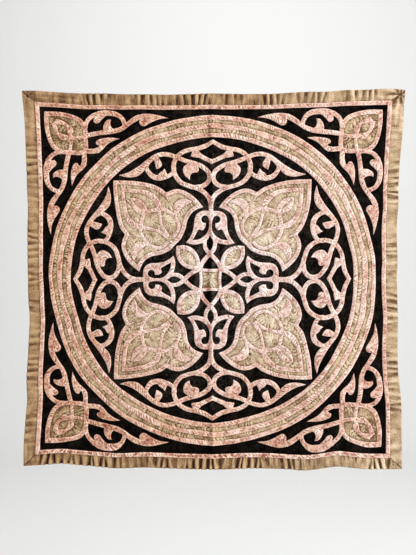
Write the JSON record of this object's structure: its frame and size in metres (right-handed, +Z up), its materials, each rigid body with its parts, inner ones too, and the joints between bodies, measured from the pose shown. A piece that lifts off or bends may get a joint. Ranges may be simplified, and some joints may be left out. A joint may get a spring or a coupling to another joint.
{
  "type": "embroidered applique wall hanging",
  "caption": "Square hanging of pink and tan cloth scrolls sewn on a dark ground inside a gathered khaki border.",
  "frame": {"origin": "middle of the top edge, where the hanging is held", "axes": "+X to the right as seen from the front, +Y from the front to the back, towards the wall, +Z up"},
  "size_m": [1.021, 0.0134, 1.0152],
  "materials": {
    "ground_cloth": "matte woven cotton",
    "pink_cloth": "matte puckered cotton",
    "tan_cloth": "matte puckered cotton",
    "khaki_cloth": "matte gathered cotton"
  },
  "bodies": {
    "root": {"ground_panel": "ground_cloth", "border_top": "khaki_cloth", "border_bottom": "khaki_cloth", "border_left": "khaki_cloth", "border_right": "khaki_cloth", "strip_top": "pink_cloth", "strip_bottom": "pink_cloth", "strip_left": "pink_cloth", "strip_right": "pink_cloth", "ring_pink_inner": "pink_cloth", "ring_tan_inner": "tan_cloth", "ring_pink_middle": "pink_cloth", "ring_tan_outer": "tan_cloth", "ring_pink_outer": "pink_cloth", "palmette_rim_ne": "pink_cloth", "palmette_rim_nw": "pink_cloth", "palmette_rim_sw": "pink_cloth", "palmette_rim_se": "pink_cloth", "palmette_cloth_ne": "tan_cloth", "palmette_cloth_nw": "tan_cloth", "palmette_cloth_sw": "tan_cloth", "palmette_cloth_se": "tan_cloth", "corner_scroll_ne": "pink_cloth", "corner_scroll_nw": "pink_cloth", "corner_scroll_sw": "pink_cloth", "corner_scroll_se": "pink_cloth", "corner_cloth_ne": "tan_cloth", "corner_cloth_nw": "tan_cloth", "corner_cloth_sw": "tan_cloth", "corner_cloth_se": "tan_cloth", "scroll_north": "pink_cloth", "scroll_west": "pink_cloth", "scroll_south": "pink_cloth", "scroll_east": "pink_cloth", "star_bands": "pink_cloth", "star_leaf_ne": "tan_cloth", "star_leaf_nw": "tan_cloth", "star_leaf_sw": "tan_cloth", "star_leaf_se": "tan_cloth", "star_square": "tan_cloth"}
  },
  "joints": []
}
